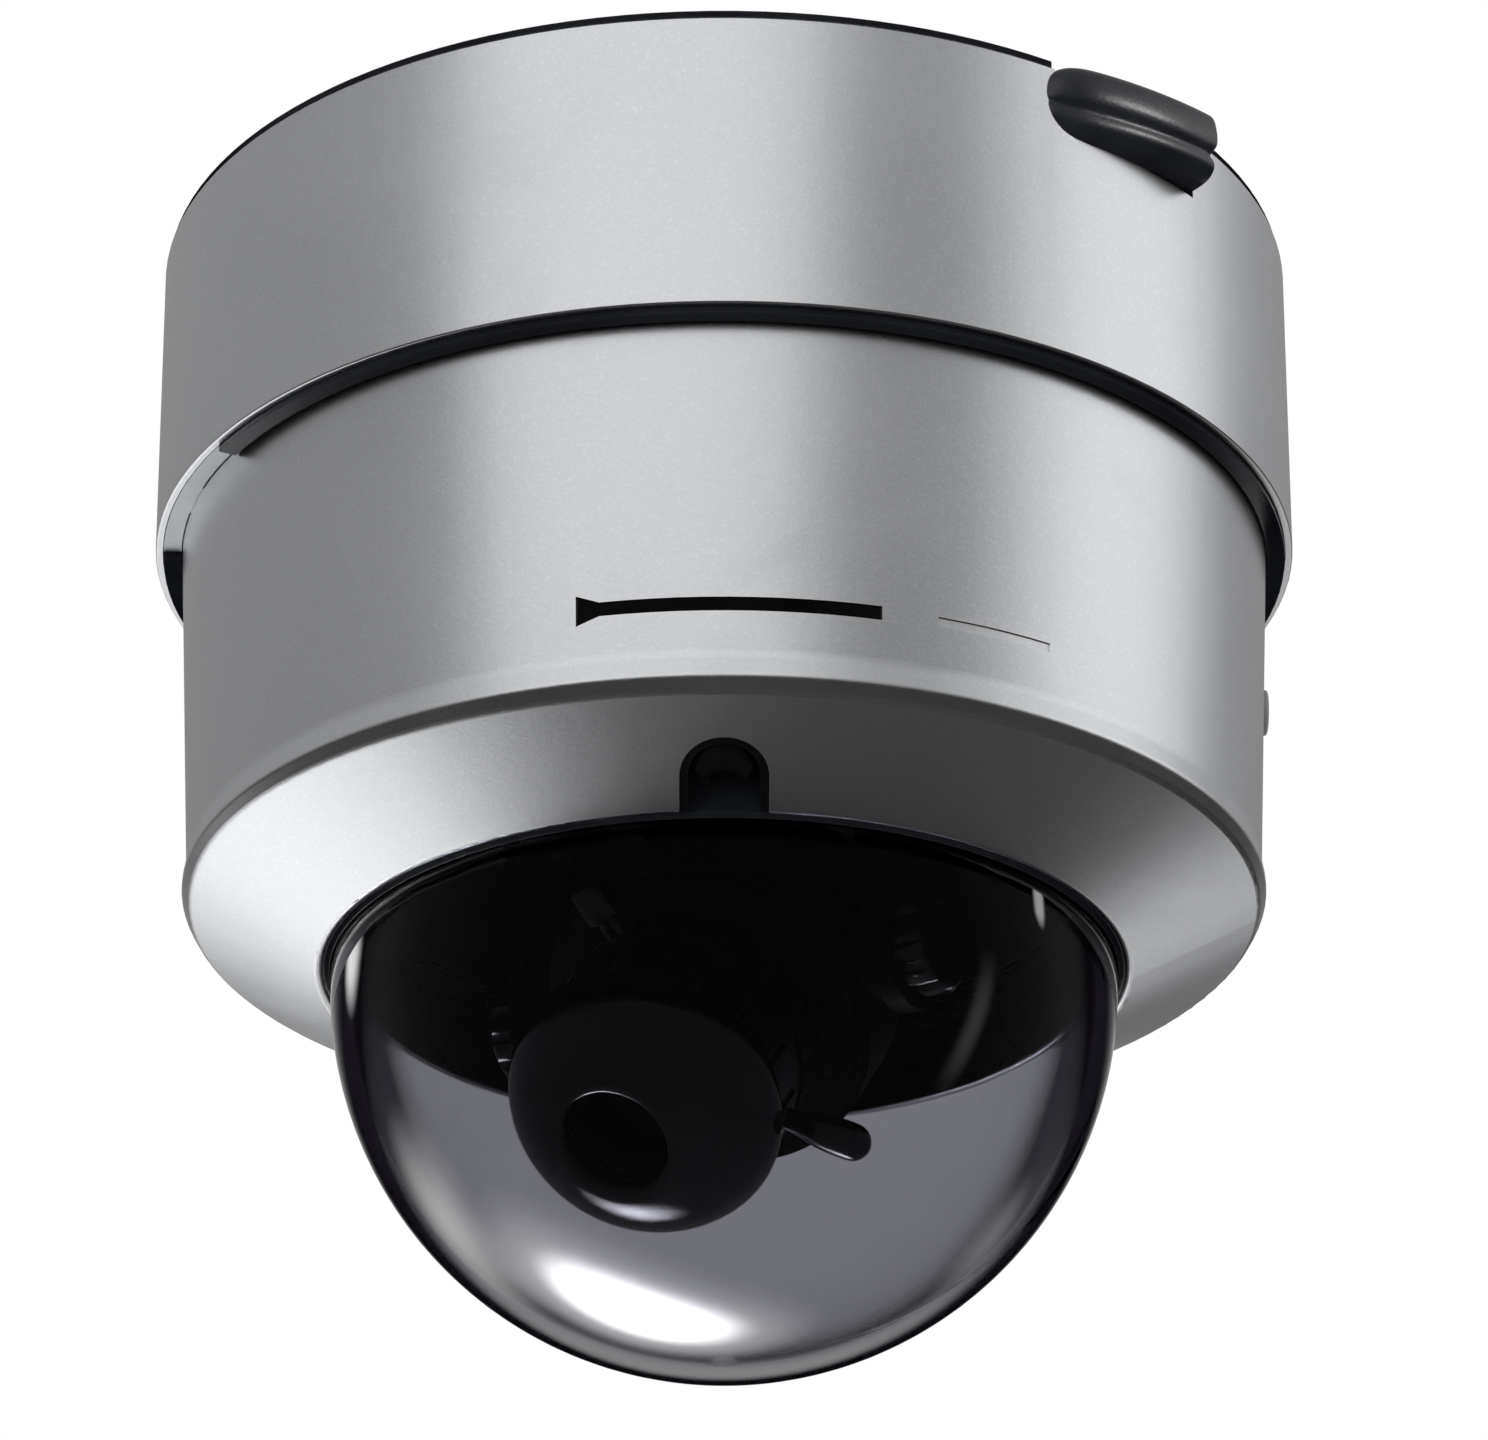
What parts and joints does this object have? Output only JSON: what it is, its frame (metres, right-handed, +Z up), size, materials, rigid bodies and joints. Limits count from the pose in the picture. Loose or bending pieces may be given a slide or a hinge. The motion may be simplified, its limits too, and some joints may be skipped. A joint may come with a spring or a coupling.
{
  "type": "dome security camera",
  "caption": "Surface-mounted dome security camera: silver back box and cover, smoked dome, and a black head that pans, tilts and turns its lens, with zoom and focus rings.",
  "frame": {"origin": "centre of the cable entry, on the face that lies against the ceiling", "axes": "+Z up into the ceiling, along the cable entry; the camera's front faces -Y"},
  "size_m": [0.164, 0.164, 0.1669],
  "materials": {
    "satin_silver": "satin silver paint over die-cast aluminium",
    "bright_metal": "bright machined aluminium",
    "black_rubber": "black rubber",
    "black_plastic": "black moulded plastic, fine texture",
    "gloss_black": "black plastic, polished",
    "black_metal": "black anodised aluminium",
    "vent_plastic": "grey moulded plastic",
    "smoked_dome": "smoked clear polycarbonate",
    "lens_glass": "coated optical glass",
    "dark_steel": "black oxide steel",
    "zinc_steel": "zinc plated steel",
    "circuit_board": "green solder mask",
    "component_black": "moulded component package",
    "terminal_green": "moulded terminal block",
    "can_metal": "aluminium can"
  },
  "bodies": {
    "housing": {"base_housing": "satin_silver", "cover": "satin_silver", "locating_lugs": "bright_metal", "ceiling_gasket": "black_rubber", "cable_boot": "black_rubber", "seam_seal": "black_rubber", "dome_gasket": "black_rubber", "chassis": "black_plastic", "inner_liner": "black_plastic", "screw_cups": "black_plastic", "pan_retainer": "black_plastic", "indicator_strip": "gloss_black", "breather_vent": "vent_plastic", "dome": "smoked_dome", "captive_screws": "dark_steel", "pan_retainer_screws": "dark_steel", "board_screws": "zinc_steel", "chassis_screws": "zinc_steel", "dome_ring_screws": "zinc_steel", "dome_ring": "zinc_steel", "network_socket": "zinc_steel", "main_board": "circuit_board", "board_chips": "component_black", "power_inductor": "component_black", "terminal_block": "terminal_green", "capacitors": "can_metal"},
    "pan_head": {"turntable": "black_plastic", "tilt_yoke": "black_plastic", "yoke_screws": "dark_steel"},
    "tilt_head": {"tilt_cradle": "black_plastic", "tilt_knobs": "gloss_black"},
    "lens_head": {"lens_holder": "black_plastic", "roll_ring": "black_plastic", "sensor_housing": "black_plastic", "sensor_board": "circuit_board", "image_sensor": "component_black", "sensor_connector": "component_black", "lens_barrel": "black_metal", "mid_collar": "black_metal", "lens_hood": "gloss_black", "front_lens": "lens_glass", "rear_lens": "lens_glass"},
    "zoom_control": {"zoom_ring": "black_metal", "zoom_lever": "gloss_black"},
    "focus_control": {"focus_ring": "black_metal", "focus_lever": "gloss_black"}
  },
  "joints": [
    {"name": "pan", "type": "hinge", "parent": "housing", "child": "pan_head", "pos_m": [0, 0, -0.074], "axis": [0, 0, 1], "range_deg": [-145.5, 209.5]},
    {"name": "tilt", "type": "hinge", "parent": "pan_head", "child": "tilt_head", "pos_m": [0, 0, -0.1115], "axis": [0.848, -0.5299, 0], "range_deg": [-34, 41]},
    {"name": "lens_turn", "type": "hinge", "parent": "tilt_head", "child": "lens_head", "pos_m": [0, 0, -0.1115], "axis": [-0.3477, -0.5564, -0.7547], "range_deg": [-95, 95]},
    {"name": "zoom_turn", "type": "hinge", "parent": "lens_head", "child": "zoom_control", "pos_m": [0, 0, -0.1115], "axis": [-0.3477, -0.5564, -0.7547], "range_deg": [-40, 40]},
    {"name": "focus_turn", "type": "hinge", "parent": "lens_head", "child": "focus_control", "pos_m": [0, 0, -0.1115], "axis": [-0.3477, -0.5564, -0.7547], "range_deg": [-60, 60]}
  ]
}
